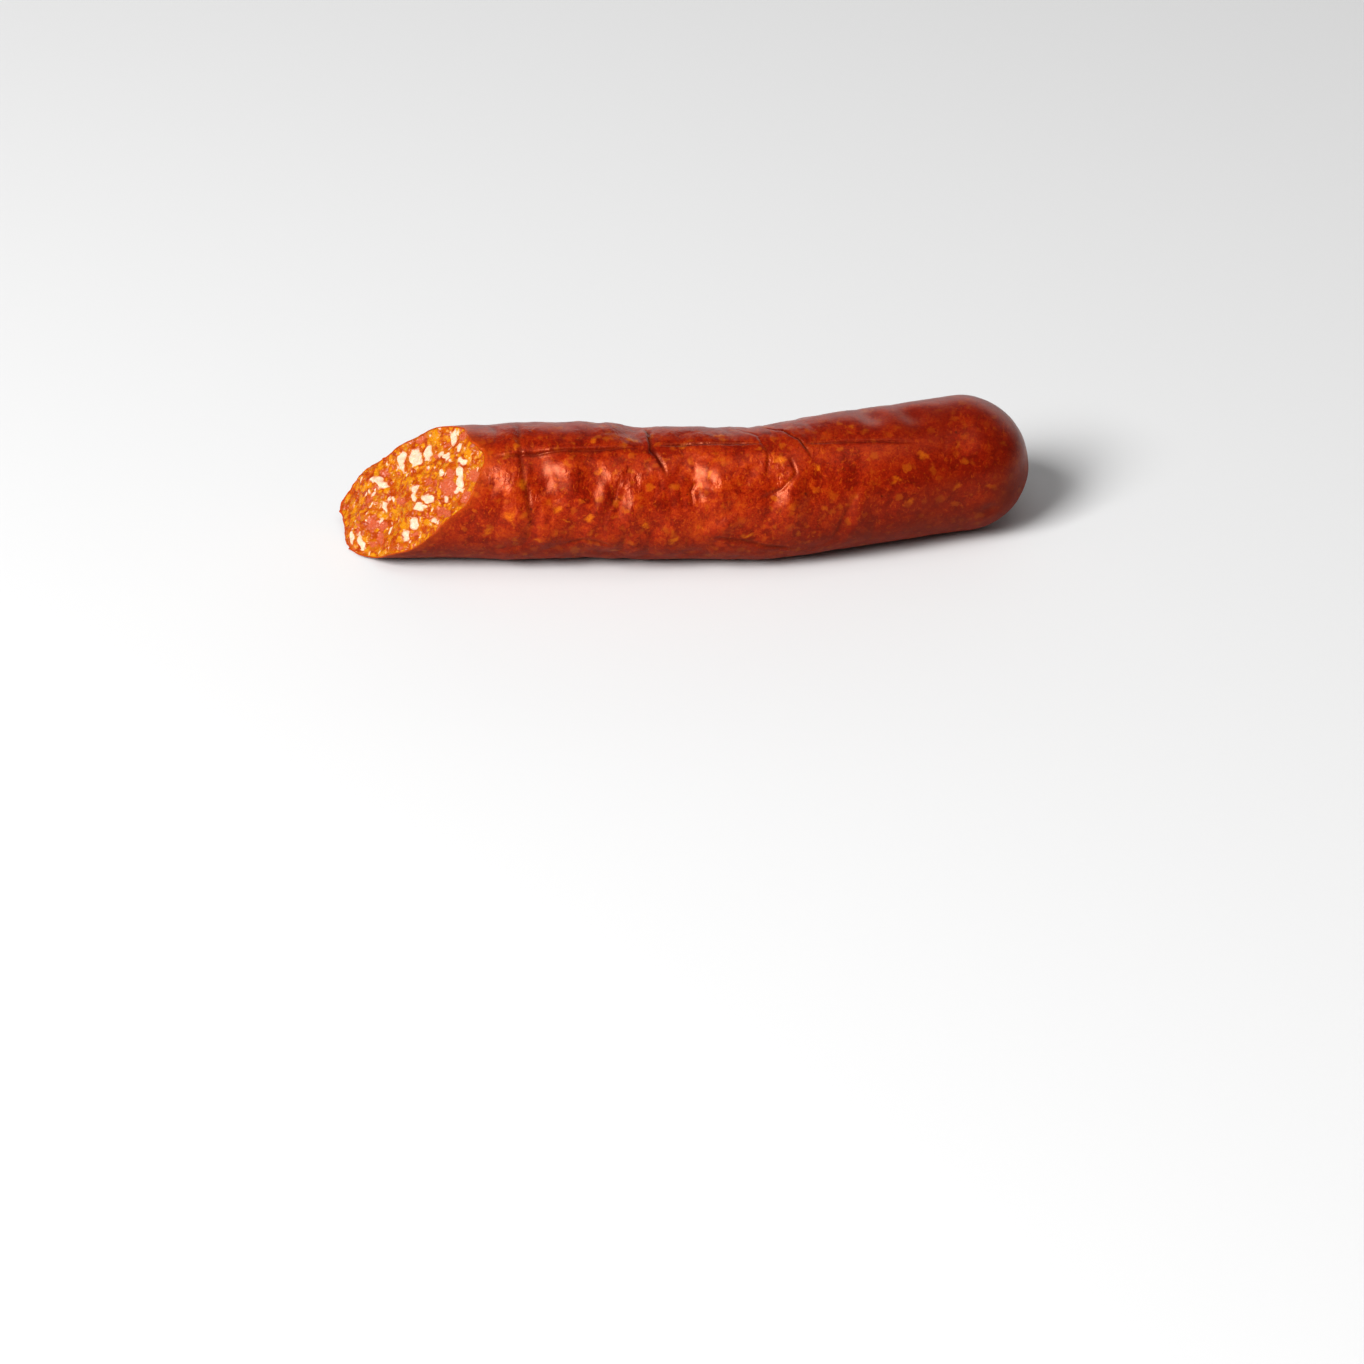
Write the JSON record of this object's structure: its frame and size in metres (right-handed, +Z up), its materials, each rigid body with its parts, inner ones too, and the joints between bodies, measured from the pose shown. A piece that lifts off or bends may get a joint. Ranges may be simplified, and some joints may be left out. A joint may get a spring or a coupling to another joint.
{
  "type": "cured sausage",
  "caption": "Thick smoked and cured pork sausage, lying on its side, cut open on a slant at one end and rounded and twisted shut at the other.",
  "frame": {"origin": "centre of the sausage's footprint, on the surface that it rests on", "axes": "+Z up; +X along the sausage, from the slanting cut to the round end; +Y towards the side that the round end bends to"},
  "size_m": [0.202, 0.0548, 0.0393],
  "materials": {
    "casing": "satin",
    "filling": "satin"
  },
  "bodies": {
    "root": {"casing": "casing", "filling": "filling"}
  },
  "joints": []
}
